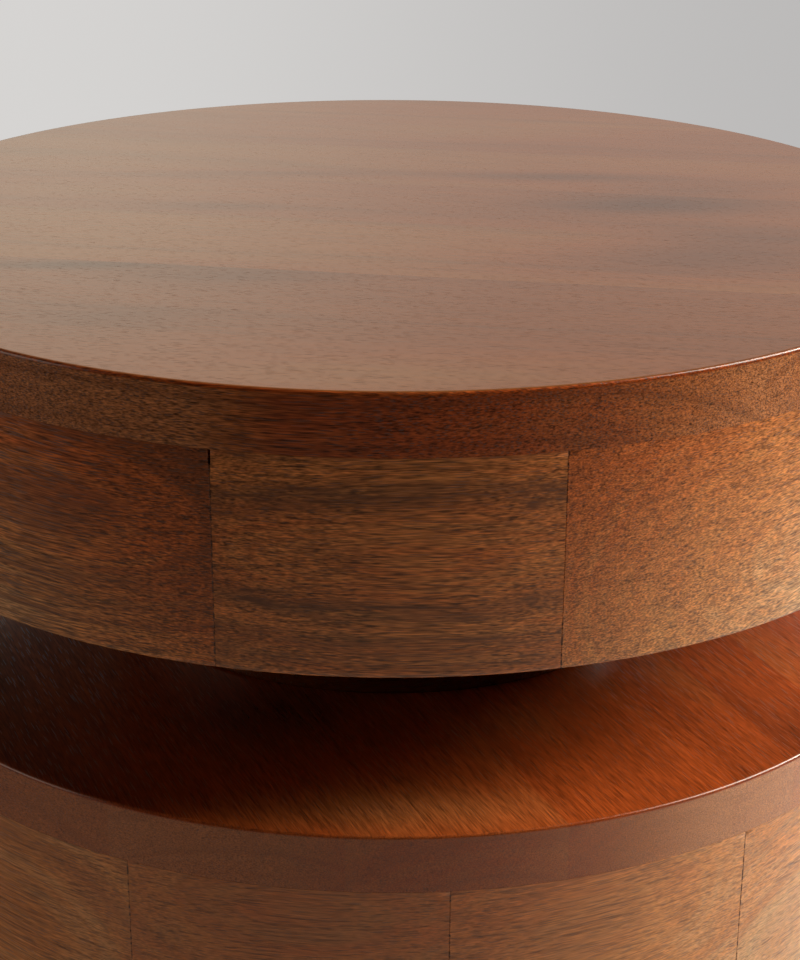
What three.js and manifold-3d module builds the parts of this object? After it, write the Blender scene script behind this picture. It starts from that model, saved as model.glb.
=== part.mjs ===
// Side table built as a totem of four round hollow drums with turned necks between them.
// Each drum is a ring of mitred blocks, turned round on the outside, closed by a solid
// top board and a recessed bottom board. One threaded rod clamps the whole stack.
// Millimetres, +Z up, origin on the floor at the axis of the table.
// Angles in plan are measured from the front, which is -Y, towards +X.

import * as THREE from 'three';
import { mergeVertices } from 'three/addons/utils/BufferGeometryUtils.js';
import Module from 'manifold-3d';

// Driving dimensions
const drum_radius = 200;
const top_board_thickness = 20;
const block_height = 70;
const block_wall = 36;
const drum_gap = 54;
const neck_radius = 106;
const bottom_board_thickness = 12;
const bottom_recess = 6;
const rebate_width = 12;
const rod_radius = 6;
const glide_height = 4;

// Counts
const ring_blocks = 12;
const facets_per_block = 8;
const base_arcs = 4;
const glide_count = 4;
const neck_facets = 72;
const rod_facets = 24;
const round_steps = 2;
const chamfer_steps = 1;
const nut_sides = 6;

// Turn of each drum about the axis, in degrees, as the drums were stacked
const drum_turns = { drum1: -0.2, drum2: -9.6, drum3: 6.5, base: -4 };

// Edges and joints
const rim_ease = 1.5;
const foot_ease = 1;
const neck_ease = 1;
const glue_line = 0.3;
const seam_groove_width = 0.6;
const seam_groove_depth = 0.5;
const board_clearance = 0.3;
const cut_overrun = 5;

// Clamping hardware
const rod_clearance = 1;
const thread_clearance = 0.3;
const rod_end = 4;
const rod_chamfer = 1;
const washer_radius = 22;
const washer_thickness = 4;
const nut_across_flats = 19;
const nut_height = 10;
const nut_cover = 2;
const glide_margin = 2;
const glide_ease = 0.5;

// Values that follow from the sizes above
const turned_facets = ring_blocks * facets_per_block;
const block_angle = 2 * Math.PI / ring_blocks;
const inner_apothem = drum_radius - block_wall;
const rebate_radius = inner_apothem + rebate_width;
const rod_hole_radius = rod_radius + rod_clearance;
const base_recess = washer_thickness + nut_height + rod_end + nut_cover;
const drum_height = block_height + top_board_thickness;
const neck_height = drum_gap + bottom_recess;
const foot_outer_radius = drum_radius - foot_ease;
const glide_circle_radius = (rebate_radius + foot_outer_radius) / 2;
const glide_radius = (foot_outer_radius - rebate_radius) / 2 - glide_margin;

// Stack from the floor up: underside of each drum
const base_z = glide_height;
const drum3_z = base_z + drum_height + drum_gap;
const drum2_z = drum3_z + drum_height + drum_gap;
const drum1_z = drum2_z + drum_height + drum_gap;

// Finishes
const board_wood = new THREE.MeshStandardMaterial({ color: 0x85502f, roughness: 0.35, metalness: 0 });
const block_wood = new THREE.MeshStandardMaterial({ color: 0xa06034, roughness: 0.35, metalness: 0 });
const neck_wood = new THREE.MeshStandardMaterial({ color: 0x5c3119, roughness: 0.35, metalness: 0 });
const panel_wood = new THREE.MeshStandardMaterial({ color: 0x66432a, roughness: 0.75, metalness: 0 });
const zinc_steel = new THREE.MeshStandardMaterial({ color: 0xa9adb0, roughness: 0.35, metalness: 1 });
const felt = new THREE.MeshStandardMaterial({ color: 0x3a3430, roughness: 0.95, metalness: 0 });

const wasm = await Module();
wasm.setup();

// A closed three.js geometry as a solid that can be cut and joined
function to_solid(geometry) {
  const bare = geometry.clone();
  bare.deleteAttribute('normal');
  bare.deleteAttribute('uv');
  const merged = mergeVertices(bare);
  return new wasm.Manifold(new wasm.Mesh({
    numProp: 3,
    vertProperties: new Float32Array(merged.attributes.position.array),
    triVerts: new Uint32Array(merged.index.array),
  }));
}

function to_geometry(solid) {
  const mesh = solid.getMesh();
  const geometry = new THREE.BufferGeometry();
  geometry.setAttribute('position', new THREE.BufferAttribute(new Float32Array(mesh.vertProperties), 3));
  geometry.setIndex(new THREE.BufferAttribute(new Uint32Array(mesh.triVerts), 1));
  geometry.computeVertexNormals();
  return geometry;
}

// A point in plan at a radius and an angle from the front
function plan_point(radius, angle) {
  return new THREE.Vector2(radius * Math.sin(angle), -radius * Math.cos(angle));
}

// A quarter round of a turned profile about its own centre; one step makes it a chamfer
function quarter_round(centre_r, centre_z, ease, from_angle, steps) {
  const points = [];
  for (let step = 0; step <= steps; step++) {
    const angle = from_angle + Math.PI / 2 * step / steps;
    points.push(new THREE.Vector2(centre_r + ease * Math.cos(angle), centre_z + ease * Math.sin(angle)));
  }
  return points;
}

function lower_ease(radius, low_z, ease, steps) {
  return quarter_round(radius - ease, low_z + ease, ease, -Math.PI / 2, steps);
}

function upper_ease(radius, high_z, ease, steps) {
  return quarter_round(radius - ease, high_z - ease, ease, 0, steps);
}

// A profile of radius and height points turned about the Z axis
function turned(points, facets = turned_facets) {
  return new THREE.LatheGeometry(points, facets).rotateX(Math.PI / 2);
}

// A disc that stands on z = 0, turned from the outer half of its profile
function turned_disc(outer_points, height, facets = turned_facets) {
  return turned([new THREE.Vector2(0, 0), ...outer_points, new THREE.Vector2(0, height)], facets);
}

// A disc with a hole drilled down its axis
function bored(disc, bore_radius, height) {
  const drill_length = height + 2 * cut_overrun;
  const drill = new THREE.CylinderGeometry(bore_radius, bore_radius, drill_length, rod_facets);
  drill.rotateX(Math.PI / 2).translate(0, 0, height / 2);
  return to_geometry(to_solid(disc).subtract(to_solid(drill)));
}

// Top board: edge-glued planks turned round, with its upper rim eased
function top_board_geometry() {
  const outer = [
    new THREE.Vector2(drum_radius, 0),
    ...upper_ease(drum_radius, top_board_thickness, rim_ease, round_steps),
  ];
  return turned_disc(outer, top_board_thickness);
}

// Bottom board: a round panel that fits the rebate turned inside the ring
function bottom_board_geometry() {
  const radius = rebate_radius - board_clearance;
  const outer = [
    new THREE.Vector2(radius, 0),
    new THREE.Vector2(radius, bottom_board_thickness),
  ];
  return bored(turned_disc(outer, bottom_board_thickness), rod_hole_radius, bottom_board_thickness);
}

// Neck: a turned block with both edges eased, bored for the rod
function neck_geometry() {
  const outer = [
    ...lower_ease(neck_radius, 0, neck_ease, chamfer_steps),
    ...upper_ease(neck_radius, neck_height, neck_ease, chamfer_steps),
  ];
  return bored(turned_disc(outer, neck_height, neck_facets), rod_hole_radius, neck_height);
}

// What the lathe leaves of the glued ring: round outside, a rebate for the bottom board inside
function turned_ring(recess) {
  const rebate_height = recess + bottom_board_thickness;
  const inside = inner_apothem - cut_overrun;
  const points = [
    new THREE.Vector2(rebate_radius, 0),
    ...lower_ease(drum_radius, 0, foot_ease, chamfer_steps),
    new THREE.Vector2(drum_radius, block_height),
    new THREE.Vector2(inside, block_height),
    new THREE.Vector2(inside, rebate_height),
    new THREE.Vector2(rebate_radius, rebate_height),
    new THREE.Vector2(rebate_radius, 0),
  ];
  return to_solid(turned(points));
}

// One side of a row of mitred blocks in plan: a corner on each mitre, drawn in at both ends
function mitred_side(apothem, block_count, row_angle) {
  const half = row_angle / block_count / 2;
  const inset = glue_line / 2 / Math.cos(half);
  const points = [];
  for (let joint = 0; joint <= block_count; joint++) {
    const angle = -row_angle / 2 + joint * row_angle / block_count;
    const corner = plan_point(apothem / Math.cos(half), angle);
    if (joint === 0) {
      corner.add(plan_point(inset, angle + half + Math.PI / 2));
    }
    if (joint === block_count) {
      corner.sub(plan_point(inset, angle - half + Math.PI / 2));
    }
    points.push(corner);
  }
  return points;
}

// Blocks as they come from the saw: flat inside and outside, mitred at both ends
function sawn_blocks(block_count, row_angle) {
  const outside = mitred_side(drum_radius + cut_overrun, block_count, row_angle);
  const inside = mitred_side(inner_apothem, block_count, row_angle);
  const shape = new THREE.Shape([...outside, ...inside.reverse()]);
  const depth = block_height + 2 * cut_overrun;
  const geometry = new THREE.ExtrudeGeometry(shape, { depth, bevelEnabled: false });
  return to_solid(geometry.translate(0, 0, -cut_overrun));
}

// A fine V along a glued seam on the turned face, from the foot to the top of the ring
function seam_groove(angle) {
  const reach = drum_radius + seam_groove_depth;
  const half_width = seam_groove_width * (reach - drum_radius + seam_groove_depth) / seam_groove_depth / 2;
  const tip = plan_point(drum_radius - seam_groove_depth, angle);
  const side = plan_point(half_width, angle + Math.PI / 2);
  const mouth = plan_point(reach, angle);
  const shape = new THREE.Shape([tip, mouth.clone().add(side), mouth.clone().sub(side)]);
  const depth = block_height + 2 * cut_overrun;
  const geometry = new THREE.ExtrudeGeometry(shape, { depth, bevelEnabled: false });
  return to_solid(geometry.translate(0, 0, -cut_overrun));
}

// One block of a ring, centred on the front
function block_geometry() {
  const blank = sawn_blocks(1, block_angle);
  return to_geometry(blank.intersect(turned_ring(bottom_recess)));
}

// A run of base blocks glued up as one arc, centred on the front, with its seams showing
function base_arc_geometry() {
  const arc_angle = 2 * Math.PI / base_arcs;
  const blocks_in_arc = Math.max(1, Math.round(ring_blocks / base_arcs));
  let arc = sawn_blocks(blocks_in_arc, arc_angle).intersect(turned_ring(base_recess));
  for (let joint = 1; joint < blocks_in_arc; joint++) {
    arc = arc.subtract(seam_groove(-arc_angle / 2 + joint * arc_angle / blocks_in_arc));
  }
  return to_geometry(arc);
}

function rod_geometry(length) {
  const outer = [
    new THREE.Vector2(rod_radius - rod_chamfer, 0),
    new THREE.Vector2(rod_radius, rod_chamfer),
    new THREE.Vector2(rod_radius, length - rod_chamfer),
    new THREE.Vector2(rod_radius - rod_chamfer, length),
  ];
  return turned_disc(outer, length, rod_facets);
}

function washer_geometry() {
  const outer = [
    new THREE.Vector2(washer_radius, 0),
    new THREE.Vector2(washer_radius, washer_thickness),
  ];
  return bored(turned_disc(outer, washer_thickness, rod_facets), rod_hole_radius, washer_thickness);
}

// Hexagon nut with the corners of both faces turned off
function nut_geometry() {
  const corner_radius = nut_across_flats / 2 / Math.cos(Math.PI / nut_sides);
  const corner_drop = corner_radius - nut_across_flats / 2;
  const corners = [];
  for (let corner = 0; corner < nut_sides; corner++) {
    corners.push(plan_point(corner_radius, corner * 2 * Math.PI / nut_sides));
  }
  const hexagon = new THREE.Shape(corners);
  const prism = new THREE.ExtrudeGeometry(hexagon, { depth: nut_height, bevelEnabled: false });
  const outer = [
    new THREE.Vector2(corner_radius - corner_drop, 0),
    new THREE.Vector2(corner_radius, corner_drop / 2),
    new THREE.Vector2(corner_radius, nut_height - corner_drop / 2),
    new THREE.Vector2(corner_radius - corner_drop, nut_height),
  ];
  const chamfered = to_solid(prism).intersect(to_solid(turned_disc(outer, nut_height, rod_facets)));
  return bored(to_geometry(chamfered), rod_radius + thread_clearance, nut_height);
}

function glide_geometry() {
  const outer = [
    ...lower_ease(glide_radius, 0, glide_ease, chamfer_steps),
    new THREE.Vector2(glide_radius, glide_height),
  ];
  return turned_disc(outer, glide_height, rod_facets);
}

const table = new THREE.Group();

function add_piece(parent, name, geometry, material, z = 0, turn = 0) {
  const mesh = new THREE.Mesh(geometry, material);
  mesh.name = name;
  mesh.position.z = z;
  mesh.rotation.z = turn;
  parent.add(mesh);
  return mesh;
}

const whole_top_board = top_board_geometry();
const bored_top_board = bored(whole_top_board, rod_hole_radius, top_board_thickness);
const bottom_board = bottom_board_geometry();

function add_drum(name, z, recess, top_board) {
  const drum = new THREE.Group();
  drum.position.z = z;
  drum.rotation.z = THREE.MathUtils.degToRad(drum_turns[name]);
  table.add(drum);
  add_piece(drum, `${name}_top_board`, top_board, board_wood, block_height);
  add_piece(drum, `${name}_bottom_board`, bottom_board, panel_wood, recess);
  return drum;
}

// Rings of separate blocks in the three upper drums
const block = block_geometry();

function add_blocks(drum, name) {
  for (let index = 0; index < ring_blocks; index++) {
    const label = String(index + 1).padStart(2, '0');
    add_piece(drum, `${name}_block_${label}`, block, block_wood, 0, index * block_angle);
  }
}

add_blocks(add_drum('drum1', drum1_z, bottom_recess, whole_top_board), 'drum1');
add_blocks(add_drum('drum2', drum2_z, bottom_recess, bored_top_board), 'drum2');
add_blocks(add_drum('drum3', drum3_z, bottom_recess, bored_top_board), 'drum3');

// Base drum: its ring is glued up from arcs, and it stands on glides
const base = add_drum('base', base_z, base_recess, bored_top_board);
const base_arc = base_arc_geometry();
for (let arc = 0; arc < base_arcs; arc++) {
  add_piece(base, `base_ring_arc_${arc + 1}`, base_arc, block_wood, 0, arc * 2 * Math.PI / base_arcs);
}
const glide = glide_geometry();
for (let index = 0; index < glide_count; index++) {
  const place = plan_point(glide_circle_radius, index * 2 * Math.PI / glide_count);
  const mesh = add_piece(base, `glide_${index + 1}`, glide, felt, -glide_height);
  mesh.position.x = place.x;
  mesh.position.y = place.y;
}

// Necks stand on a top board and reach the recessed bottom board of the drum above
const neck = neck_geometry();
add_piece(table, 'neck_1', neck, neck_wood, drum2_z + drum_height);
add_piece(table, 'neck_2', neck, neck_wood, drum3_z + drum_height);
add_piece(table, 'neck_3', neck, neck_wood, base_z + drum_height);

// Rod through the stack, with a washer and a nut at each end
const low_washer_z = base_z + base_recess - washer_thickness;
const low_nut_z = low_washer_z - nut_height;
const rod_z = low_nut_z - rod_end;
const high_washer_z = drum1_z + bottom_recess + bottom_board_thickness;
const high_nut_z = high_washer_z + washer_thickness;
const rod_length = high_nut_z + nut_height + rod_end - rod_z;
const washer = washer_geometry();
const nut = nut_geometry();
add_piece(table, 'tie_rod', rod_geometry(rod_length), zinc_steel, rod_z);
add_piece(table, 'tie_rod_top_washer', washer, zinc_steel, high_washer_z);
add_piece(table, 'tie_rod_top_nut', nut, zinc_steel, high_nut_z);
add_piece(table, 'tie_rod_bottom_washer', washer, zinc_steel, low_washer_z);
add_piece(table, 'tie_rod_bottom_nut', nut, zinc_steel, low_nut_z);

export default table;
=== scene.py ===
"""Dresses a round side table, a stack of four turned drums of mitred blocks, and sets its studio.

Run as a script in Blender 4.5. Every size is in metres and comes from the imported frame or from
the properties below. Plan angles are measured from the front, -Y, towards +X.
"""

import math

import bpy
import numpy as np
from bpy.props import FloatProperty, FloatVectorProperty, IntProperty, PointerProperty
from mathutils import Matrix, Vector


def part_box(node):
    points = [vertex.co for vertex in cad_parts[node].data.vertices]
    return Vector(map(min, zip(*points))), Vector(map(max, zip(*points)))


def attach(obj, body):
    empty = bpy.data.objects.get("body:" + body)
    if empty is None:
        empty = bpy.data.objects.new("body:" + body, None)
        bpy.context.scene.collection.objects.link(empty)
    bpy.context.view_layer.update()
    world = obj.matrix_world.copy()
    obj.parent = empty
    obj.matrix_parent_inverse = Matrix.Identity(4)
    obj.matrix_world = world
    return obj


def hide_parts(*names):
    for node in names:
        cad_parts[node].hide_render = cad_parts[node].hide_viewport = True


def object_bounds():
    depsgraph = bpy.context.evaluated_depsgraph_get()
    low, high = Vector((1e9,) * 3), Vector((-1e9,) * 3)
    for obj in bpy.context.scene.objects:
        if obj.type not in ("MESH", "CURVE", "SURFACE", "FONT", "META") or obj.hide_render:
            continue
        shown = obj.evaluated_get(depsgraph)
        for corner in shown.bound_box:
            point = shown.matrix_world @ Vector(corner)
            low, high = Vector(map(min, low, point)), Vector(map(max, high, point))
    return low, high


bl_info = {
    "name": "Stacked drum side table",
    "version": (1, 0, 0),
    "blender": (4, 5, 0),
    "location": "View3D > Sidebar > Table",
    "description": "Turned drums of mitred blocks, their lacquered wood and a plain studio",
    "category": "Add Mesh",
}

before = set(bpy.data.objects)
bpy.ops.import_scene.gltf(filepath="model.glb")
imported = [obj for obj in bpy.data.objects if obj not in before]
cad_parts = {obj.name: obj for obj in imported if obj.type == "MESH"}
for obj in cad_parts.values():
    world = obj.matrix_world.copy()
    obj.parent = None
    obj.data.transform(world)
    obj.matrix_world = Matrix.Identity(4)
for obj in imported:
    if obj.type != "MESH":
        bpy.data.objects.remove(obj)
cad_low, cad_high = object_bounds()

MM = 0.001
DRUMS = ("drum1", "drum2", "drum3", "base")
NECKS = ("neck_1", "neck_2", "neck_3")
GLIDES = tuple(node for node in sorted(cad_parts) if node.startswith("glide_"))
RING_BLOCKS = 12
BLOCK_ANGLE = 2 * math.pi / RING_BLOCKS
SHARP_ANGLE = math.radians(35)

# Radius of the bore for the rod, width of the flat band beside an eased edge, rows up a block's face, and
# the open slot at the top of some seams
ROD_BORE = 7 * MM
EDGE_BAND = 0.5 * MM
FACE_ROWS = 70
SLOT_HEIGHT = 4.5 * MM
SEAMS_PER_SLOT = 9


# Measures taken from the frame

def node_points(node):
    """A CAD node's vertices as an array."""
    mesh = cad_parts[node].data
    points = np.empty(len(mesh.vertices) * 3, np.float32)
    mesh.vertices.foreach_get("co", points)
    return points.reshape(-1, 3).astype(float)


def middle_angle(node):
    """Plan angle of the middle of a node that doesn't cross the back."""
    points = node_points(node)
    angles = np.arctan2(points[:, 0], -points[:, 1])
    return (angles.min() + angles.max()) / 2


def ring_nodes(drum):
    """Nodes of a drum's ring, in order round it."""
    word = "_ring_arc_" if drum == "base" else "_block_"
    return sorted(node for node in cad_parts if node.startswith(drum + word))


def drum_turn(drum):
    """Plan angle of the middle of a drum's first block."""
    return middle_angle(ring_nodes(drum)[0])


def radius_of(node):
    """Distance of a node's farthest point from the axis."""
    points = node_points(node)
    return float(np.hypot(points[:, 0], points[:, 1]).max())


# Properties

class TableShapeSettings(bpy.types.PropertyGroup):
    rim_ease: FloatProperty(name="Rim ease", description="Radius of the top boards' upper rim",
                            default=1.0 * MM, min=0, unit="LENGTH")
    foot_ease: FloatProperty(name="Foot ease", description="Radius of the rings' lower edge",
                             default=1.0 * MM, min=0, unit="LENGTH")
    joint_ease: FloatProperty(name="Joint ease", description="Softening of the edges at glued joints",
                              default=0.07 * MM, min=0, unit="LENGTH")
    seam: FloatProperty(name="Seam", description="Width of the glue line between two blocks",
                        default=0.09 * MM, min=0, unit="LENGTH")
    chip: FloatProperty(name="Seam chips", description="Depth of the open spot at the top of a seam",
                        default=0.35 * MM, min=0, unit="LENGTH")
    wall: FloatProperty(name="Ring wall", description="Thickness of a block at its middle",
                        default=36 * MM, min=0, unit="LENGTH")
    rebate: FloatProperty(name="Rebate", description="Width of the rebate for the bottom board",
                          default=12 * MM, min=0, unit="LENGTH")
    round_facets: IntProperty(name="Round facets", description="Facets round a board", default=360, min=24)
    block_columns: IntProperty(name="Block columns", description="Facets along a block", default=24, min=4)


class TableWoodSettings(bpy.types.PropertyGroup):
    # Palest wood; on lit wood at the right it is also a painted pale sheen of the lamps there
    sap_and_sheen: FloatVectorProperty(name="Sapwood", description="Palest and yellowest wood",
                             subtype="COLOR", default=(0.57, 0.35, 0.15), min=0, max=1)
    pale: FloatVectorProperty(name="Pale wood", description="Pale wood between the pores",
                              subtype="COLOR", default=(0.535, 0.187, 0.044), min=0, max=1)
    middle: FloatVectorProperty(name="Middle wood", description="Body colour of the wood",
                                subtype="COLOR", default=(0.46, 0.100, 0.016), min=0, max=1)
    dark: FloatVectorProperty(name="Dark wood", description="Dark growth rings",
                              subtype="COLOR", default=(0.17, 0.038, 0.008), min=0, max=1)
    streak: FloatVectorProperty(name="Streaks", description="Blackish streaks of the heartwood",
                                subtype="COLOR", default=(0.125, 0.036, 0.013), min=0, max=1)
    pore: FloatVectorProperty(name="Pores", description="Stain held in the pores",
                              subtype="COLOR", default=(0.09, 0.023, 0.005), min=0, max=1)
    board_contrast: FloatProperty(name="Board contrast", default=0.6, min=0, max=1,
                                  description="Grain contrast of the boards as a share of the blocks'")
    top_contrast: FloatProperty(name="Top contrast", default=0.28, min=0, max=1,
                                description="Grain contrast of the upper face as a share of the blocks'")
    top_tint: FloatVectorProperty(name="Top tint", description="Colour of the upper face over the blocks'",
                                  subtype="COLOR", default=(0.475, 0.605, 0.68), min=0, max=1)
    board_tint: FloatVectorProperty(name="Board tint", description="Colour of the boards over the blocks'",
                                    subtype="COLOR", default=(0.665, 0.515, 0.48), min=0, max=1)
    neck_tint: FloatVectorProperty(name="Neck tint", description="Colour of the necks over the blocks'",
                                   subtype="COLOR", default=(0.27, 0.28, 0.28), min=0, max=1)
    gloss: FloatProperty(name="Gloss", description="Roughness of the satin lacquer", default=0.21,
                         min=0, max=1, subtype="FACTOR")
    fibre: FloatProperty(name="Fibre", description="Light and dark of the fine fibre", default=2.8, min=0)
    calm_fibre: FloatProperty(name="Calm fibre", description="Fibre of the rubbed upper face and necks",
                              default=1.2, min=0)
    lower_fibre: FloatProperty(name="Lower fibre", description="Fibre of the blocks of the lower drums",
                               default=1.3, min=0)
    pore_width: FloatProperty(name="Pore width", description="Distance between pores across the grain",
                              default=0.54 * MM, unit="LENGTH")
    pore_length: FloatProperty(name="Pore length", description="Distance between pores along the grain",
                               default=12.0 * MM, unit="LENGTH")
    top_pore_length: FloatProperty(name="Top pore length", default=5.0 * MM, unit="LENGTH",
                                   description="Distance between pores along the upper face")


class TableStageSettings(bpy.types.PropertyGroup):
    backdrop_left: FloatVectorProperty(name="Backdrop left", description="Background colour on the left",
                                       subtype="COLOR", default=(0.672, 0.658, 0.645), min=0, max=1)
    backdrop_right: FloatVectorProperty(name="Backdrop right", description="Background colour on the right",
                                        subtype="COLOR", default=(0.50, 0.49, 0.485), min=0, max=1)
    mirror_left: FloatVectorProperty(name="Mirrored left", subtype="COLOR", min=0, max=1,
                                     description="Backdrop as the lacquer shows it at the left",
                                     default=(0.83, 0.82, 0.71))
    mirror_right: FloatVectorProperty(name="Mirrored right", subtype="COLOR", min=0, max=1,
                                      description="Backdrop as the lacquer shows it at the right",
                                      default=(0.51, 0.50, 0.475))
    floor_near: FloatVectorProperty(name="Floor near", description="Colour of the floor in front at the left",
                                    subtype="COLOR", default=(0.40, 0.39, 0.38), min=0, max=1)
    floor_far: FloatVectorProperty(name="Floor far", description="Colour of the floor behind at the right",
                                   subtype="COLOR", default=(0.86, 0.85, 0.83), min=0, max=1)
    ambient: FloatProperty(name="Ambient", description="Strength of the soft light all round",
                           default=0.005, min=0)
    key: FloatProperty(name="Key light", description="Irradiance of the large light at the right, in W/m2",
                       default=3.7, min=0)
    side: FloatProperty(name="Side light", description="Irradiance of the lower light at the right, in W/m2",
                        default=2.4, min=0)
    rim: FloatProperty(name="Rim light", default=2.0, min=0,
                       description="Irradiance of the low light behind at the right, in W/m2")
    fill: FloatProperty(name="Fill light", description="Irradiance of the soft light at the left, in W/m2",
                        default=0.6, min=0)
    lamp_distance: FloatProperty(name="Lamp distance", default=3.0, min=1, unit="LENGTH",
                                 description="Distance of every light from the upper drum")
    lens: FloatProperty(name="Lens", description="Focal length on a 36 mm wide sensor", default=80.30, min=1)


# Meshes worked out on grids

def grid_faces(rows, columns, wrap_rows=False, wrap_columns=False):
    """Quads of a grid of points; a grid that wraps is closed on itself that way."""
    i, j = np.meshgrid(np.arange(rows if wrap_rows else rows - 1),
                       np.arange(columns if wrap_columns else columns - 1), indexing="ij")
    up, along = (i + 1) % rows, (j + 1) % columns
    return np.stack([i * columns + j, i * columns + along, up * columns + along, up * columns + j],
                    -1).reshape(-1, 4)


def ease_points(radius, height, ease, start, steps):
    """Quarter round of an edge in radius and height: centre + ease (cos a, sin a), a from start."""
    angle = start + np.linspace(0, math.pi / 2, steps)
    return np.stack([radius + ease * np.cos(angle), height + ease * np.sin(angle)], -1)


def make_piece(name, points, faces, grain, tone, seam=(1, 0, 0)):
    """A mesh object at the origin with its wood coordinates, tone and place by a seam on its points."""
    mesh = bpy.data.meshes.new(name)
    mesh.from_pydata(points.tolist(), [], faces)
    for label, values in (("grain", grain), ("tone", tone), ("seam", seam)):
        attribute = mesh.attributes.new(label, "FLOAT_VECTOR", "POINT")
        values = np.ascontiguousarray(np.broadcast_to(values, points.shape), np.float32)
        attribute.data.foreach_set("vector", values.ravel())
    mesh.shade_smooth()
    mesh.set_sharp_from_angle(angle=SHARP_ANGLE)
    mesh.validate()
    piece = bpy.data.objects.new(name, mesh)
    bpy.context.scene.collection.objects.link(piece)
    return piece


def plan_grain(points, angle, offset):
    """Wood coordinates of a board whose grain lies at an angle from +X: x along it, y up and z across."""
    x, y, z = points.T
    along = x * math.cos(angle) + y * math.sin(angle)
    across = -x * math.sin(angle) + y * math.cos(angle)
    return np.stack([along, z, across], -1) + offset


def turned_points(profile, facets):
    """Profile of radius and height carried round the axis: (r sin a, -r cos a, z) over a full turn."""
    angle = np.linspace(0, 2 * math.pi, facets, endpoint=False)
    radius, height = profile[:, 0, None], profile[:, 1, None]
    return np.stack(np.broadcast_arrays(radius * np.sin(angle), -radius * np.cos(angle), height), -1)


def turned_piece(name, profile, facets, grain_of, tone_of):
    """A turned solid: a profile that starts on the axis is closed there by fans, and any other wraps."""
    solid = profile[0, 0] == 0
    inner = profile[1:-1] if solid else profile
    points = turned_points(inner, facets).reshape(-1, 3)
    faces = grid_faces(len(inner), facets, not solid, True).tolist()
    if solid:
        low, high = len(points), len(points) + 1
        points = np.vstack([points, [[0, 0, profile[0, 1]], [0, 0, profile[-1, 1]]]])
        ring = np.arange(facets)
        after = (ring + 1) % facets
        last = (len(inner) - 1) * facets
        faces += np.stack([np.full(facets, low), after, ring], -1).tolist()
        faces += np.stack([np.full(facets, high), last + ring, last + after], -1).tolist()
    return make_piece(name, points, faces, grain_of(points), tone_of(points))


# Shader maths

class Value:
    """A node's output that does sums: each operator adds a Math node and gives its output."""

    def __init__(self, nodes, socket):
        self.nodes = nodes
        self.socket = socket

    def _math(self, operation, first, second=0.0):
        return self.nodes.add("ShaderNodeMath", {"operation": operation}, {0: first, 1: second})

    def __add__(self, other):
        return self._math("ADD", self, other)

    def __radd__(self, other):
        return self._math("ADD", other, self)

    def __sub__(self, other):
        return self._math("SUBTRACT", self, other)

    def __rsub__(self, other):
        return self._math("SUBTRACT", other, self)

    def __mul__(self, other):
        return self._math("MULTIPLY", self, other)

    def __rmul__(self, other):
        return self._math("MULTIPLY", other, self)

    def __truediv__(self, other):
        return self._math("DIVIDE", self, other)

    def __rtruediv__(self, other):
        return self._math("DIVIDE", other, self)

    def root(self):
        return self._math("SQRT", self)

    def most(self, other):
        return self._math("MAXIMUM", self, other)

    def step(self, low, high):
        """0 below low, 1 above high and a smooth rise between."""
        return self.nodes.add("ShaderNodeMapRange", {"interpolation_type": "SMOOTHSTEP"},
                              {"Value": self, "From Min": low, "From Max": high})


class Nodes:
    """The nodes of one material or world."""

    def __init__(self, owner):
        owner.use_nodes = True
        self.tree = owner.node_tree

    def put(self, value, socket):
        """Links a value into a socket, or sets the socket to it."""
        if isinstance(value, Value):
            self.tree.links.new(value.socket, socket)
        else:
            socket.default_value = value

    def add(self, kind, settings=None, inputs=None, output=0):
        """Adds a node: its settings first, then the values or links of its sockets; gives one output."""
        node = self.tree.nodes.new(kind)
        for key, value in (settings or {}).items():
            if key == "stops":
                self.set_stops(node.color_ramp, value)
            elif key == "ramp":
                node.color_ramp.interpolation = value
            else:
                setattr(node, key, value)
        for key, value in (inputs or {}).items():
            self.put(value, node.inputs[key])
        return Value(self, node.outputs[output])

    @staticmethod
    def set_stops(ramp, stops):
        """Gives a ramp its stops, each a place and a colour."""
        while len(ramp.elements) < len(stops):
            ramp.elements.new(1)
        for element, (place, colour) in zip(ramp.elements, stops):
            element.position = place
            element.color = colour

    def split(self, vector):
        """The three parts of a vector."""
        node = self.add("ShaderNodeSeparateXYZ", None, {0: vector}).socket.node
        return [Value(self, socket) for socket in node.outputs]

    def join(self, x, y, z):
        return self.add("ShaderNodeCombineXYZ", None, {0: x, 1: y, 2: z})

    def scaled(self, vector, scale):
        return self.add("ShaderNodeVectorMath", {"operation": "MULTIPLY"}, {0: vector, 1: scale})

    def moved(self, vector, offset):
        return self.add("ShaderNodeVectorMath", {"operation": "ADD"}, {0: vector, 1: offset})

    def mix(self, first, second, factor):
        """Colour between two colours."""
        return self.add("ShaderNodeMix", {"data_type": "RGBA"}, {0: factor, 6: first, 7: second}, 2)

    def noise(self, vector, scale=1.0, detail=2.0, rough=0.5, output=0):
        """Noise from 0 to 1, or as a colour with output 1."""
        return self.add("ShaderNodeTexNoise", None,
                        {"Vector": vector, "Scale": scale, "Detail": detail, "Roughness": rough}, output)


class Finish(Nodes):
    """A material that ends in a Principled shader."""

    def __init__(self, name, **constants):
        self.material = bpy.data.materials.new(name)
        super().__init__(self.material)
        self.shader = self.tree.nodes["Principled BSDF"]
        self.set(**{key.replace("_", " "): value for key, value in constants.items()})

    def set(self, **sockets):
        """Puts values or links into the shader's sockets."""
        for key, value in sockets.items():
            self.put(value, self.shader.inputs[key])

    def bump(self, height, distance, strength=1.0):
        """Relief of a height from 0 to 1 over a distance."""
        normal = self.add("ShaderNodeBump", None,
                          {"Height": height, "Distance": distance, "Strength": strength})
        self.put(normal, self.shader.inputs["Normal"])


def rgba(colour, tint=(1.0, 1.0, 1.0)):
    """A colour times a tint, with alpha 1."""
    return (*(part * share for part, share in zip(colour, tint)), 1.0)


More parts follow.
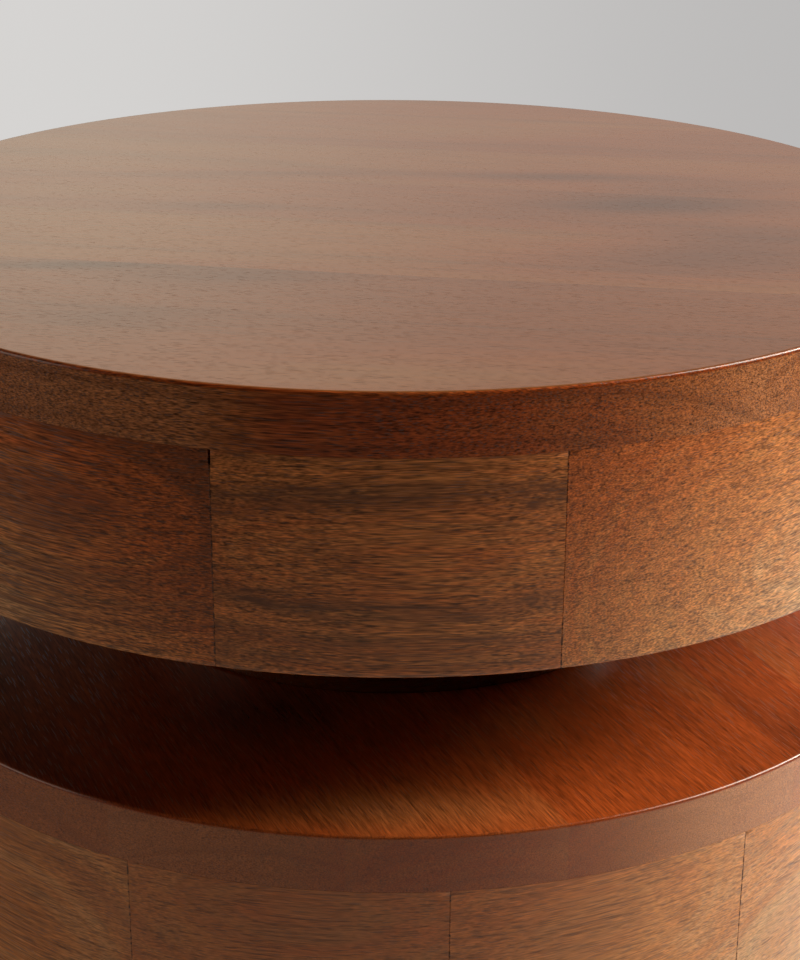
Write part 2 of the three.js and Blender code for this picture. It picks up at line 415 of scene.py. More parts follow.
# Noise of the wood: cells per metre along the grain, through the piece and across it, detail, roughness
FIGURE = {
    "drift": ((7, 30, 30), 2.0, 0.5),
    "blotch": ((26, 120, 120), 2.0, 0.6),
    "crowd": ((34, 220, 220), 2.0, 0.5),
    "strand": ((14, 400, 400), 2.0, 0.6),
    "line": ((30, 1050, 1050), 3.0, 0.65),
    "vessel": ((20, 1500, 1500), 1.0, 0.5),
    "fibre": ((150, 2300, 2300), 1.0, 0.5),
}
# How far slow noise bends the grain, and cells of the fine rings' noise per metre of radius
DRIFT = 5 * MM
FINE_RINGS = 420
# Share of the cells that lines and pores keep through a block, and the darkest that fine noise makes it
BLOCK_SPREAD = 0.42
LEAST_LIGHT = 0.25
# Cells of a seam's dots per metre up it and into it, and where the dots fade beside the glue line
SEAM_BEADS = (620, 100)
GLUE_DOTS = (0.17 * MM, 0.48 * MM)
# Metres under the ramps of the planks and of the growth rings, and how far a plank's cut lies from the
# next one's along the grain and through the board
PLANK_SPAN = 0.5
RING_SPAN = 0.1
PLANK_SHIFT = (7.7, 0.05)

# Dark growth rings: tone by distance from the pith, as a share of the span of the rings
RING_TONES = [(place, (tone, tone, tone, 1)) for place, tone in [
    (0.0, 0.05), (0.135, 0.05), (0.16, 0.42), (0.195, 0.5), (0.215, 0.4), (0.235, 0.08), (0.262, 0.0),
    (0.285, 0.4), (0.32, 0.42), (0.35, 0.25), (0.39, 0.42), (0.43, 0.2), (0.45, 0.5), (0.47, 0.1),
    (0.55, 0.0), (0.575, 0.6), (0.60, 0.1), (0.69, 0.0), (0.70, 0.5), (0.74, 0.05), (0.83, 0.0),
    (0.85, 0.6), (0.88, 0.0), (0.95, 0.3)]]


def wood_finish(name, settings, fibre_depth, tint=(1.0, 1.0, 1.0), contrast=1.0, planks=None,
                pore_length=None):
    """Lacquered wood, worked out in the piece's own wood coordinates, with the pith along x.

    Growth rings follow r = sqrt(y^2 + z^2) - z / 6, wider on one side of the pith: broad ones are steps
    of a ramp over r and fine ones are noise of r, both bent by slow noise. Fine rings and blotches move
    the body colour along its ramp. Lines, strands and fibre, all noise drawn out along x, only make it
    lighter or darker, the fibre by its own depth. Pores are cells drawn out along x, dark where the cut
    passes near a cell's middle, and vessels are the peaks of a noise drawn out further. A board's planks
    are steps of a ramp across the grain, each with its own tone and pith. Wood without planks is a
    block's, and its lines and pores are spread through it. Seams darken in dots where noise along the
    seam is high.
    """
    finish = Finish(name, IOR=1.5, Specular_Tint=(1.0, 0.97, 0.8, 1.0))
    spread = 1.0 if planks else BLOCK_SPREAD

    def attribute(label):
        return finish.add("ShaderNodeAttribute", {"attribute_name": label}, None, 1)

    def figure_noise(kind, place, through=1.0, output=0):
        (along, deep, across), detail, rough = FIGURE[kind]
        return finish.noise(finish.scaled(place, (along, deep * through, across)), 1.0, detail, rough, output)

    grain = attribute("grain")
    lightness, density, streaks = finish.split(attribute("tone"))
    # The palest stop is also a painted pale sheen on lit wood at the right
    palest_and_sheen = settings.sap_and_sheen
    if planks:
        palest_and_sheen = [pale * 0.7 + sap_and_sheen * 0.5 for pale, sap_and_sheen in zip(settings.pale, settings.sap_and_sheen)]
        x, y, z = finish.split(grain)
        ramp = finish.add("ShaderNodeValToRGB", {"ramp": "CONSTANT", "stops": planks},
                          {0: z / PLANK_SPAN + 0.5})
        plank_tone, plank_middle, plank_depth = finish.split(ramp)
        grain = finish.join(x + plank_middle * PLANK_SHIFT[0], y + plank_depth * PLANK_SHIFT[1],
                            z + (0.5 - plank_middle) * PLANK_SPAN)
        lightness = lightness + (plank_tone - 0.5) * 2.0

    drift = finish.moved(figure_noise("drift", grain, output=1), (-0.5, -0.5, -0.5))
    bent = finish.moved(grain, finish.scaled(drift, (0, DRIFT, DRIFT)))
    x, y, z = finish.split(bent)
    ring_radius = (y * y + z * z).root() - z / 6
    broad = finish.add("ShaderNodeValToRGB", {"stops": RING_TONES}, {0: ring_radius / RING_SPAN})
    rings = finish.noise(finish.join(ring_radius * FINE_RINGS, x * 4.0, 0.0), 1.0, 3.0, 0.65)
    fibre = figure_noise("fibre", bent)
    line = figure_noise("line", bent, spread)
    strand = figure_noise("strand", bent)
    blotch = figure_noise("blotch", bent)
    crowd = figure_noise("crowd", bent)
    vessels = figure_noise("vessel", bent, spread).step(0.6, 0.66)
    cell_size = (1 / (pore_length or settings.pore_length), spread / settings.pore_width,
                 1 / settings.pore_width)
    cells = finish.add("ShaderNodeTexVoronoi", {"feature": "F1"},
                       {"Vector": finish.scaled(bent, cell_size), "Scale": 1.0})
    pore_radius = 0.12 + 0.23 * crowd + 0.12 * density
    pores = 1.0 - (cells / pore_radius).step(0.75, 1.1)

    hue = 0.4 + (((rings - 0.5) * 0.4 + (blotch - 0.5) * 0.28) * contrast + lightness * 0.3) * 0.8
    body = finish.add("ShaderNodeValToRGB", {"stops": [
        (0.08, rgba(settings.dark, tint)), (0.4, rgba(settings.middle, tint)),
        (0.68, rgba(settings.pale, tint)), (1.0, rgba(palest_and_sheen, tint))]}, {0: hue})
    line_depth = 1.1 + streaks * 1.3
    light = 1.0 + ((line - 0.5) * line_depth + (fibre - 0.5) * fibre_depth + (strand - 0.5) * 0.7) * contrast
    light = light.most(LEAST_LIGHT)
    body = finish.scaled(body, finish.join(light, light, light))
    dark_rings = (broad + (line - 0.5) * 1.5 + (strand - 0.5) * 0.9 + (blotch - 0.5) * 0.4).step(0.12, 0.85)
    body = finish.mix(body, rgba(settings.streak, tint), dark_rings * streaks)

    inset, height, inward = finish.split(attribute("seam"))
    beads = finish.noise(finish.join(height * SEAM_BEADS[0], inward * SEAM_BEADS[1], 0.0), 1.0, 1.0)
    dots = beads.step(0.47, 0.60) * (1.0 - inset.step(*GLUE_DOTS)) * 0.9
    pore_depth = pores * ((0.62 + density * 0.22) * contrast ** 0.5)
    stain = pore_depth.most(vessels * 0.5 * contrast).most(dots)
    finish.set(**{
        "Base Color": finish.mix(body, rgba(settings.pore, tint), stain),
        "Roughness": settings.gloss + (fibre - 0.5) * 0.1 + pores * 0.15,
    })
    finish.bump(fibre * 0.25 - pores * 0.3, 0.05 * contrast * MM)
    return finish.material


def stained_and_shaded_panel_finish():
    """Dark plywood of the bottom boards, stain and painted shade: faint grain and fine fibre on object
    coordinates.
    """
    finish = Finish("panel_wood", Roughness=0.75)
    place = finish.add("ShaderNodeTexCoord", None, None, "Object")
    grain = finish.noise(finish.scaled(place, (14, 160, 40)), 1.0, 4.0, 0.6)
    fibre = finish.noise(finish.scaled(place, (70, 1600, 600)), 1.0, 2.0)
    level = grain * 0.7 + fibre * 0.3
    # Dark tones: stain, and painted shade that keeps the gaps under the drums dark
    colour = finish.add("ShaderNodeValToRGB", {"stops": [
        (0.3, (0.085, 0.034, 0.014, 1)), (0.7, (0.17, 0.075, 0.03, 1))]}, {0: level})
    finish.set(**{"Base Color": colour})
    finish.bump(fibre, 0.08 * MM, 0.5)
    return finish.material


def steel_finish():
    """Zinc-plated steel: cloudy plating with fine grit."""
    finish = Finish("zinc_steel", Metallic=1.0)
    place = finish.add("ShaderNodeTexCoord", None, None, "Object")
    cloud = finish.noise(place, 180.0, 3.0, 0.6)
    grit = finish.noise(place, 2600.0, 2.0)
    colour = finish.mix((0.52, 0.53, 0.55, 1), (0.74, 0.74, 0.72, 1), cloud)
    finish.set(**{"Base Color": colour, "Roughness": 0.26 + cloud * 0.2 + grit * 0.08})
    finish.bump(grit, 0.02 * MM, 0.5)
    return finish.material


def felt_finish():
    """Pressed felt: fine tangled fibres."""
    finish = Finish("glide_felt", Roughness=0.95)
    place = finish.add("ShaderNodeTexCoord", None, None, "Object")
    tangle = finish.noise(place, 2200.0, 4.0, 0.7)
    clumps = finish.noise(place, 420.0, 2.0)
    colour = finish.mix((0.02, 0.018, 0.016, 1), (0.085, 0.078, 0.07, 1), tangle * 0.7 + clumps * 0.3)
    finish.set(**{"Base Color": colour, "Sheen Weight": 0.3})
    finish.bump(tangle, 0.3 * MM, 0.8)
    return finish.material


# Pieces of the table

# Each board's grain angle, its pore crowding and streaks, its plank joints across the grain in
# metres, and the tone of its planks
BOARDS = {
    "drum1": (-9, (0.1, 0.25), (-0.1475, -0.083, -0.017, 0.04, 0.1, 0.155),
              (0.44, 0.37, 0.64, 0.46, 0.60, 0.42, 0.52)),
    "drum2": (-66, (0.2, 0.3), (-0.155, -0.095, -0.028, 0.032, 0.060, 0.088, 0.15),
              (0.3, 0.5, 0.62, 0.42, 0.30, 0.08, 0.45, 0.5)),
    "drum3": (24, (0.2, 0.3), (-0.14, -0.07, -0.005, 0.055, 0.125), (0.5, 0.4, 0.6, 0.45, 0.55, 0.4)),
    "base": (-40, (0.0, 0.3), (-0.12, -0.06, 0.01, 0.075, 0.145), (0.45, 0.6, 0.4, 0.5, 0.42, 0.58)),
}

# Tone of the edge of the boards in front, by plan angle in degrees
# From 20 degrees on at the right this tone is also a painted sheen of the lamps at the right
EDGE_TONE_AND_SHEEN = {
    "drum1": ((-60, 0.8), (-38, 1.8), (-30, 2.4), (-17, 2.2), (-9, 0.3), (0, 0.0), (8, 0.2), (20, 0.8),
              (34, 2.3), (60, 2.0)),
    "drum2": ((-60, 0.8), (-35, 1.7), (-10, 1.0), (0, 0.0), (10, 0.0), (20, 0.8), (30, 2.4), (38, 3.0),
              (60, 1.5)),
}

# Broad soft changes of tone on the boards in front: place along and across the front in metres, half
# length and half width, and depth
BOARD_TONE_AND_SHADE_SPOTS = {
    "drum1": ((0.065, 0.054, 0.045, 0.008, -0.8), (0.098, 0.010, 0.050, 0.014, -1.0),
              (0.105, -0.066, 0.065, 0.020, -0.9), (-0.045, 0.058, 0.065, 0.006, -0.7),
              (-0.068, 0.006, 0.030, 0.006, -0.4), (-0.105, -0.072, 0.040, 0.005, -0.8),
              (-0.050, -0.084, 0.040, 0.011, -0.5), (0.040, 0.137, 0.080, 0.020, 0.5),
              (0.010, -0.185, 0.060, 0.015, 0.5), (-0.090, -0.133, 0.030, 0.015, -0.4),
              (-0.110, 0.031, 0.050, 0.015, 0.3), (0.125, -0.040, 0.040, 0.018, -0.7),
              (0.118, 0.036, 0.045, 0.012, -0.6)),
    # Painted shadow in the gap under the upper drum, and painted light at the front rim and the right
    "drum2": ((-0.035, -0.120, 0.035, 0.030, -1.5), (0.000, -0.183, 0.045, 0.012, 1.2),
              (0.115, -0.085, 0.045, 0.030, 0.9), (0.037, -0.125, 0.020, 0.015, 0.7)),
}


def spot_tone_and_shade(points, tone_and_shade_spots):
    """Sum of soft spots: depth * exp(-(x / half length)^2 - (y / half width)^2), from each spot's middle."""
    x, y = points[:, 0, None], points[:, 1, None]
    place_x, place_y, length, width, depth = np.array(tone_and_shade_spots).T
    return (depth * np.exp(-((x - place_x) / length) ** 2 - ((y - place_y) / width) ** 2)).sum(1)


def plank_ramp(joints, tones):
    """Stops of a ramp across a board: each plank's tone, middle and depth of the pith, by seeded chance."""
    edges = (-PLANK_SPAN / 2, *joints, PLANK_SPAN / 2)
    depths = np.random.default_rng(len(joints)).uniform(0, 1, len(tones))
    return [(left / PLANK_SPAN + 0.5, (tone, (left + right) / 2 / PLANK_SPAN + 0.5, depth, 1))
            for left, right, tone, depth in zip(edges, edges[1:], tones, depths)]


# Tone, pore crowding and streaks of the blocks in front, how the tone changes to their right end and
# their top, and their cut: skew, lean, and x, y, z from the pith
FRONT_BLOCKS = {
    ("drum1", 0): ((0.55, 0.3, 0.95), (-0.05, 0.05), (0.03, 0.0), (0.9, 0.0048, -0.0021)),
    ("drum1", 11): ((0.55, 0.9, 0.8), (-0.8, -0.7), (-0.03, 0.0), (-0.7, 0.020, -0.007)),
    ("drum1", 1): ((0.9, 0.15, 0.1), (0.7, -0.45), (0.35, 0.08), (1.3, 0.04, 0.02)),
    ("drum2", 0): ((0.5, 0.3, 0.4), (-0.2, 0.0), (0.02, 0.02), (0.9, 0.03, -0.02)),
    ("drum2", 11): ((1.1, 0.3, 0.4), (0.0, 0.0), (0.0, -0.02), (-1.2, 0.05, 0.01)),
    ("drum2", 1): ((0.9, 0.3, 0.2), (0.5, -0.2), (-0.04, 0.06), (1.8, 0.045, -0.01)),
    # A high tone, near the palest wood: partly a painted pale sheen of the lamps at the right
    ("drum2", 2): ((1.7, 0.2, 0.3), (0.3, -0.3), (0.05, 0.12), (-1.6, 0.035, 0.02)),
}


def add_board(drum, shape):
    """A top board: its profile has a sharp lower edge at the joint and an eased upper rim."""
    node = drum + "_top_board"
    low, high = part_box(node)
    radius = radius_of(node)
    bore = 0.0 if drum == "drum1" else ROD_BORE
    ease, fine = shape.rim_ease, shape.joint_ease
    face_rings = 50 if drum in BOARD_TONE_AND_SHADE_SPOTS else 3
    profile = np.vstack([
        [(bore, low.z), (radius * 0.5, low.z), (radius - fine, low.z), (radius, low.z + fine)],
        [(radius, high.z - ease - EDGE_BAND)],
        ease_points(radius - ease, high.z - ease, ease, 0, 7),
        [(reach, high.z) for reach in np.linspace(radius - ease - EDGE_BAND, bore, face_rings)],
    ])
    angle = math.radians(BOARDS[drum][0])
    offset = np.array([0.0, 0.015 - low.z, 0.0])

    def tone_of(points):
        """Tone by plan angle on the turned edge and by soft spots on the face."""
        round_edge = (points[:, 2] < high.z - ease) & (np.hypot(points[:, 0], points[:, 1]) > radius - ease)
        plan = np.degrees(np.arctan2(points[:, 0], -points[:, 1]))
        # At the right of the edge this tone is also a painted sheen of the lamps there
        light = np.interp(plan, *zip(*EDGE_TONE_AND_SHEEN.get(drum, ((0, 0),)))) * round_edge
        density, streaks = BOARDS[drum][1]
        # On drum2 the soft spots are painted shadow and painted light
        if drum in BOARD_TONE_AND_SHADE_SPOTS:
            light = light + spot_tone_and_shade(points, BOARD_TONE_AND_SHADE_SPOTS[drum]) * (1 - round_edge)
        if drum == "drum1":
            density = np.where(round_edge, 0.6, -0.2 - points[:, 1] / radius)
            streaks = np.where(round_edge, 0.45, streaks)
        return np.stack(np.broadcast_arrays(light, density, streaks), -1)

    return turned_piece(drum + "_top", profile, shape.round_facets,
                        lambda points: plan_grain(points, angle, offset), tone_of)


def block_outline(shape, drum, radius, low, high):
    """Closed outline of a block in depth and height, and 1 where its face is flat, 0 where it is turned."""
    foot = ease_points(radius - shape.foot_ease, low + shape.foot_ease, shape.foot_ease, -math.pi / 2, 5)
    face = np.linspace(low + shape.foot_ease, high, FACE_ROWS)[1:-1]
    inside = radius - shape.wall
    step = inside + shape.rebate
    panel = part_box(drum + "_bottom_board")[1].z
    turned = np.vstack([
        [(step, low)], foot, np.stack([np.full_like(face, radius), face], -1),
        [(radius, high)]])
    flat = np.array([(inside, high), (inside, panel)])
    outline = np.vstack([turned, flat, [(step, panel)]])
    flatness = np.zeros(len(outline))
    flatness[len(turned):len(turned) + len(flat)] = 1
    return outline, flatness


def seam_slot(heights, high, seed):
    """1 in the open slot at the top of a seam and 0 elsewhere: one seam of nine has such a slot."""
    return (high - heights <= SLOT_HEIGHT) * float(seed % SEAMS_PER_SLOT == 1)


def block_points(outline, flatness, shape, seeds, high):
    """A block about the front, as outline by column.

    At plan angle a a turned point of depth r lies at (r sin a, -r cos a) and a flat one at
    (r tan a, -r). The mitred ends stand back from the 15 degree planes by half the glue line and
    the slot, and their edges are eased by one narrow band.
    """
    depth, height = outline.T
    edge = np.roll(outline, -1, 0) - np.roll(outline, 1, 0)
    normal = np.stack([edge[:, 1], -edge[:, 0]], -1) / np.linalg.norm(edge, axis=1, keepdims=True)
    share = np.linspace(-1, 1, shape.block_columns + 1)
    columns = []
    for share_at, eased in [(-1, 1), *((value, 0) for value in share), (1, 1)]:
        side = 0 if share_at < 0 else 1
        slot = seam_slot(height, high, seeds[side]) * shape.chip * (depth > depth.max() - 2 * MM)
        inset = shape.seam / 2 + slot + (0 if eased else shape.joint_ease)
        reach = BLOCK_ANGLE / 2 - np.arcsin(inset / depth)
        angle = reach * share_at
        at = outline - normal * shape.joint_ease * eased
        turned = np.stack([at[:, 0] * np.sin(angle), -at[:, 0] * np.cos(angle), at[:, 1]], -1)
        flat = np.stack([at[:, 0] * np.tan(angle), -at[:, 0], at[:, 1]], -1)
        columns.append(np.where(flatness[:, None] > 0, flat, turned))
    return np.stack(columns, 1)


def turn_points(points, angle):
    """Points turned about the Z axis by an angle from the front towards +X."""
    cos, sin = math.cos(angle), math.sin(angle)
    return points @ np.array([[cos, sin, 0], [-sin, cos, 0], [0, 0, 1]])


def add_block(drum, index, shape, turn, random):
    """One mitred block of a ring, with its own cut of the wood.

    Chance is drawn for every block, so that a change to one in front leaves the others as they are.
    """
    node = ring_nodes(drum)[0]
    radius = radius_of(node)
    low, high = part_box(node)[0].z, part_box(node)[1].z
    outline, flatness = block_outline(shape, drum, radius, low, high)
    seeds = [seam_seed(drum, index), seam_seed(drum, (index + 1) % RING_BLOCKS)]
    local = block_points(outline, flatness, shape, seeds, high)
    rows, columns = local.shape[:2]
    local = local.reshape(-1, 3)
    faces = grid_faces(rows, columns, True, False).tolist()
    first = (np.arange(rows) * columns).tolist()
    faces += [first, [point + columns - 1 for point in reversed(first)]]
    tone, change, (skew, lean), pith = FRONT_BLOCKS.get((drum, index), (
        (random.uniform(-0.4, 0.5), random.uniform(0, 1), random.uniform(0, 0.7)),
        (random.uniform(-0.3, 0.3), 0.0),
        (random.uniform(-0.25, 0.25), random.uniform(-0.08, 0.08)),
        (random.uniform(-2, 2), random.uniform(0.01, 0.06), random.uniform(-0.03, 0.03))))
    centre = local - np.array([0, -radius, (low + high) / 2])
    x, y, z = centre.T
    along = x * math.cos(skew) + y * math.sin(skew) + z * math.sin(lean)
    depth = -x * math.sin(skew) + y * math.cos(skew)
    across = z * math.cos(lean) - x * math.sin(lean)
    grain = np.stack([along, depth, across], -1) + pith
    shares = np.stack([x / (radius * math.sin(BLOCK_ANGLE / 2)), 2 * z / (high - low)], -1)
    tones = tone + (shares @ change)[:, None] * (1, 0, 0)
    left = x < 0
    inset = radius * (BLOCK_ANGLE / 2 - np.abs(np.arctan2(local[:, 0], -local[:, 1])))
    seam = np.stack([inset, np.where(left, seeds[0], seeds[1]) * 0.1 + z, y], -1)
    points = turn_points(local, turn + index * BLOCK_ANGLE)
    return make_piece(f"{drum}_wood_block_{index + 1:02d}", points, faces, grain, tones, seam)


def seam_seed(drum, index):
    """A seed shared by the two blocks that meet at a seam."""
    return 1000 * (DRUMS.index(drum) + 1) + index


def fit(piece, material, slot, *nodes):
    """Gives a piece its finish and its place in the frame."""
    piece.data.materials.append(material)
    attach(piece, "root")
    if nodes:
        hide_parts(*nodes)
    return piece


class TABLE_OT_boards(bpy.types.Operator):
    """Top boards of the drums, turned from planks glued edge to edge"""
    bl_idname = "table.boards"
    bl_label = "Top boards"

    def execute(self, context):
        scene = context.scene
        wood = scene.table_wood
        for drum, (_, _, joints, tones) in BOARDS.items():
            planks = plank_ramp(joints, tones)
            contrast = 1.0 if drum == "drum1" else wood.board_contrast
            material = wood_finish("board_wood_" + drum, wood, wood.fibre, wood.board_tint, contrast,
                                   planks)
            piece = fit(add_board(drum, scene.table_shape), material, "board_wood", drum + "_top_board")
            if drum == "drum1":
                piece.data.materials.append(
                    wood_finish("board_wood_rubbed", wood, wood.calm_fibre, wood.top_tint, wood.top_contrast,
                                planks, wood.top_pore_length))
                upper = [int(face.normal.z > 0.9) for face in piece.data.polygons]
                piece.data.polygons.foreach_set("material_index", upper)
        return {"FINISHED"}


class TABLE_OT_rings(bpy.types.Operator):
    """Rings of twelve mitred blocks under the top boards"""
    bl_idname = "table.rings"
    bl_label = "Block rings"

    def execute(self, context):
        scene = context.scene
        wood = scene.table_wood
        upper = wood_finish("block_wood_upper", wood, wood.fibre)
        lower = wood_finish("block_wood_lower", wood, wood.lower_fibre)
        random = np.random.default_rng(12)
        for drum in DRUMS:
            nodes = ring_nodes(drum)
            first = -1 if drum == "base" else 0
            turn = drum_turn(drum)
            for index in range(RING_BLOCKS):
                place = index * len(nodes) // RING_BLOCKS
                piece = add_block(drum, (index + first) % RING_BLOCKS, scene.table_shape, turn, random)
                fit(piece, upper if drum == "drum1" else lower, "block_wood", nodes[place])
        return {"FINISHED"}


class TABLE_OT_necks(bpy.types.Operator):
    """Turned necks between the drums"""
    bl_idname = "table.necks"
    bl_label = "Necks"

    def execute(self, context):
        wood = context.scene.table_wood
        material = wood_finish("neck_wood", wood, wood.calm_fibre, wood.neck_tint)
        for count, node in enumerate(NECKS):
            low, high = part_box(node)
            radius, ease = radius_of(node), 1 * MM
            profile = np.vstack([
                [(ROD_BORE, low.z), (radius - ease - EDGE_BAND, low.z)],
                ease_points(radius - ease, low.z + ease, ease, -math.pi / 2, 5),
                [(radius, low.z + ease + EDGE_BAND), (radius, high.z - ease - EDGE_BAND)],
                ease_points(radius - ease, high.z - ease, ease, 0, 5),
                [(radius - ease - EDGE_BAND, high.z), (ROD_BORE, high.z)],
            ])
            offset = np.array([0.3 * count, 0.03 - low.z, 0.02])
            angle = math.radians(35 * count)
            piece = turned_piece(f"turned_{node}", profile, 240,
                                 lambda points: plan_grain(points, angle, offset),
                                 lambda points: (-0.2, 0.4, 0.4))
            fit(piece, material, "neck_wood", node)
        return {"FINISHED"}


class TABLE_OT_hardware(bpy.types.Operator):
    """Finishes of the bottom boards, the rod, its nuts and washers"""
    bl_idname = "table.hardware"
    bl_label = "Boards inside and hardware"

    def execute(self, context):
        panel, steel = stained_and_shaded_panel_finish(), steel_finish()
        for name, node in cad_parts.items():
            if name.endswith("_bottom_board"):
                node.data.materials.clear()
                node.data.materials.append(panel)
            elif name.startswith("tie_rod"):
                node.data.materials.clear()
                node.data.materials.append(steel)
        return {"FINISHED"}


class TABLE_OT_glides(bpy.types.Operator):
    """Felt glides under the base ring"""
    bl_idname = "table.glides"
    bl_label = "Glides"

    def execute(self, context):
        material = felt_finish()
        for node in GLIDES:
            low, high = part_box(node)
            centre = (low + high) / 2
            radius = (high.x - low.x) / 2
            ease = 0.8 * MM
            profile = np.vstack([
                [(0, low.z), (radius - ease - 0.4 * MM, low.z)],
                ease_points(radius - ease, low.z + ease, ease, -math.pi / 2, 5),
                [(radius, high.z - 0.2 * MM), (radius - 0.2 * MM, high.z), (0, high.z)],
            ])
            piece = turned_piece("felt_" + node, profile, 48, lambda points: points, lambda points: (0, 0, 0))
            points = np.empty(len(piece.data.vertices) * 3)
            piece.data.vertices.foreach_get("co", points)
            points = points.reshape(-1, 3) + (centre.x, centre.y, 0)
            piece.data.vertices.foreach_set("co", points.ravel())
            fit(piece, material, "glide_felt", node)
        return {"FINISHED"}


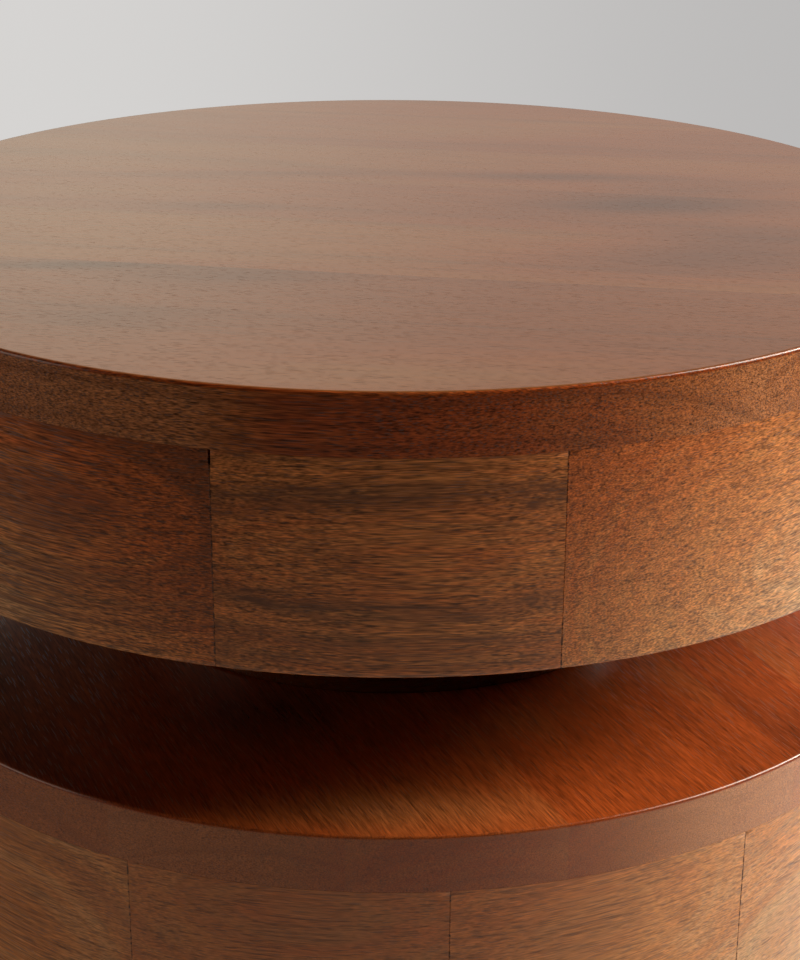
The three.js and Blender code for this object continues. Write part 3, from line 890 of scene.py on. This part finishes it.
class TABLE_OT_stage(bpy.types.Operator):
    """Floor, backdrop light, lamps and camera"""
    bl_idname = "table.stage"
    bl_label = "Stage"

    def execute(self, context):
        stage = context.scene.table_stage
        self.add_floor(stage)
        self.set_world(context.scene, stage)
        self.add_lamp("key_light", stage, stage.key, azimuth=90, elevation=40, size=1.6)
        self.add_lamp("side_light", stage, stage.side, azimuth=98, elevation=26, size=0.8)
        self.add_lamp("rim_light", stage, stage.rim, azimuth=138, elevation=12, size=1.4)
        self.add_lamp("fill_light", stage, stage.fill, azimuth=280, elevation=8, size=2.0,
                      colour=(1.0, 0.86, 0.82))
        self.add_camera(context.scene, stage)
        context.scene.view_settings.view_transform = "Standard"
        return {"FINISHED"}

    def add_floor(self, stage):
        """A round floor, paler behind at the right, that fades into the background at its edge."""
        finish = Finish("floor", Roughness=0.8)
        x, y, _ = finish.split(finish.add("ShaderNodeTexCoord", None, None, "Object"))
        paper = finish.mix(rgba(stage.floor_near), rgba(stage.floor_far), (x * 0.8 + y * 0.5).step(-0.5, 0.6))
        finish.set(**{"Base Color": paper})
        fade = (x * x + y * y).root().step(0.9, 1.75)
        clear = finish.add("ShaderNodeBsdfTransparent")
        shown = Value(finish, finish.shader.outputs[0])
        surface = finish.add("ShaderNodeMixShader", None, {0: fade, 1: shown, 2: clear})
        finish.put(surface, finish.tree.nodes["Material Output"].inputs["Surface"])
        angle = np.linspace(0, 2 * math.pi, 96, endpoint=False)
        points = np.stack([1.8 * np.sin(angle), -1.8 * np.cos(angle), np.zeros_like(angle)], -1)
        floor = make_piece("studio_floor", points, [list(range(96))], points, (0, 0, 0))
        floor.data.materials.append(finish.material)

    def set_world(self, scene, stage):
        """Pale for the camera, pale behind the table for reflections, and soft light for everything else."""
        world = bpy.data.worlds.new("studio")
        scene.world = world
        nodes = Nodes(world)
        direction = nodes.add("ShaderNodeTexCoord", None, None, "Generated")
        x, y, z = nodes.split(direction)
        paper = nodes.mix(rgba(stage.backdrop_left), rgba(stage.backdrop_right), x.step(-0.2, 0.22))
        light_path = nodes.tree.nodes.new("ShaderNodeLightPath")
        camera = Value(nodes, light_path.outputs["Is Camera Ray"])
        glossy = Value(nodes, light_path.outputs["Is Glossy Ray"])
        clear = Value(nodes, light_path.outputs["Is Transmission Ray"])
        seen = camera.most(clear)
        behind, above_floor = y.step(-0.35, 0.25), z.step(-0.04, 0.2)
        below_edge = 1.0 - z.step(0.32, 0.5) * 0.95
        mirrored = behind * above_floor * below_edge * 1.26 + 0.02
        strength = seen + (1.0 - seen) * (glossy * mirrored + (1.0 - glossy) * stage.ambient)
        background = nodes.tree.nodes["Background"]
        reflected = nodes.mix(rgba(stage.mirror_left), rgba(stage.mirror_right), x.step(-0.17, 0.09))
        nodes.put(nodes.mix(paper, reflected, glossy), background.inputs["Color"])
        nodes.put(strength, background.inputs["Strength"])

    def add_lamp(self, name, stage, irradiance, azimuth, elevation, size, colour=(1.0, 1.0, 1.0)):
        """A square soft light aimed at the upper drum, its angles in degrees from the front and the level.

        A power of pi d^2 E gives it irradiance E from distance d.
        """
        azimuth, elevation, distance = math.radians(azimuth), math.radians(elevation), stage.lamp_distance
        lamp = bpy.data.lights.new(name, "AREA")
        lamp.size = size
        lamp.color = colour
        lamp.energy = math.pi * distance ** 2 * irradiance
        light = bpy.data.objects.new(name, lamp)
        bpy.context.scene.collection.objects.link(light)
        light.visible_camera = False
        towards = Vector((math.sin(azimuth) * math.cos(elevation),
                          -math.cos(azimuth) * math.cos(elevation), math.sin(elevation)))
        light.location = Vector((0, 0, cad_high.z - 50 * MM)) + distance * towards
        light.rotation_euler = towards.to_track_quat("Z", "Y").to_euler()

    def add_camera(self, scene, stage):
        """The photograph's camera: fitted distance, height and angles from the top's centre."""
        data = bpy.data.cameras.new("camera")
        data.sensor_fit = "AUTO"
        data.sensor_width = 36
        data.lens = stage.lens
        camera = bpy.data.objects.new("camera", data)
        scene.collection.objects.link(camera)
        scene.camera = camera
        radius = cad_high.x
        distance, height = 3.8391 * radius, 1.0007 * radius
        pitch, roll, yaw = 0.3797, -0.0050, 0.0045
        level_right = Vector((math.cos(yaw), -math.sin(yaw), 0))
        ahead = Vector((math.sin(yaw) * math.cos(pitch), math.cos(yaw) * math.cos(pitch), -math.sin(pitch)))
        level_up = level_right.cross(ahead)
        right = level_right * math.cos(roll) - level_up * math.sin(roll)
        up = level_right * math.sin(roll) + level_up * math.cos(roll)
        turn = Matrix((right, up, -ahead)).transposed()
        camera.matrix_world = Matrix.Translation((0, -distance, cad_high.z + height)) @ turn.to_4x4()


class TABLE_PT_panel(bpy.types.Panel):
    """Lists the sizes, colours and steps of the table"""
    bl_idname = "TABLE_PT_panel"
    bl_label = "Side table"
    bl_space_type = "VIEW_3D"
    bl_region_type = "UI"
    bl_category = "Table"

    def draw(self, context):
        for settings in (context.scene.table_shape, context.scene.table_wood, context.scene.table_stage):
            column = self.layout.column()
            for key in settings.__annotations__:
                column.prop(settings, key)
        for operator in OPERATORS:
            self.layout.operator(operator.bl_idname)


SETTINGS = {
    "table_shape": TableShapeSettings,
    "table_wood": TableWoodSettings,
    "table_stage": TableStageSettings,
}
OPERATORS = (TABLE_OT_stage, TABLE_OT_boards, TABLE_OT_rings, TABLE_OT_necks, TABLE_OT_hardware,
             TABLE_OT_glides)


def register():
    for cls in (*SETTINGS.values(), *OPERATORS, TABLE_PT_panel):
        bpy.utils.register_class(cls)
    for name, settings in SETTINGS.items():
        setattr(bpy.types.Scene, name, PointerProperty(type=settings))


def unregister():
    for name in SETTINGS:
        delattr(bpy.types.Scene, name)
    for cls in (TABLE_PT_panel, *reversed(OPERATORS), *reversed(SETTINGS.values())):
        bpy.utils.unregister_class(cls)


def main():
    """Runs every step."""
    register()
    bpy.ops.table.stage()
    bpy.ops.table.boards()
    bpy.ops.table.rings()
    bpy.ops.table.necks()
    bpy.ops.table.hardware()
    bpy.ops.table.glides()


if __name__ == "__main__":
    main()
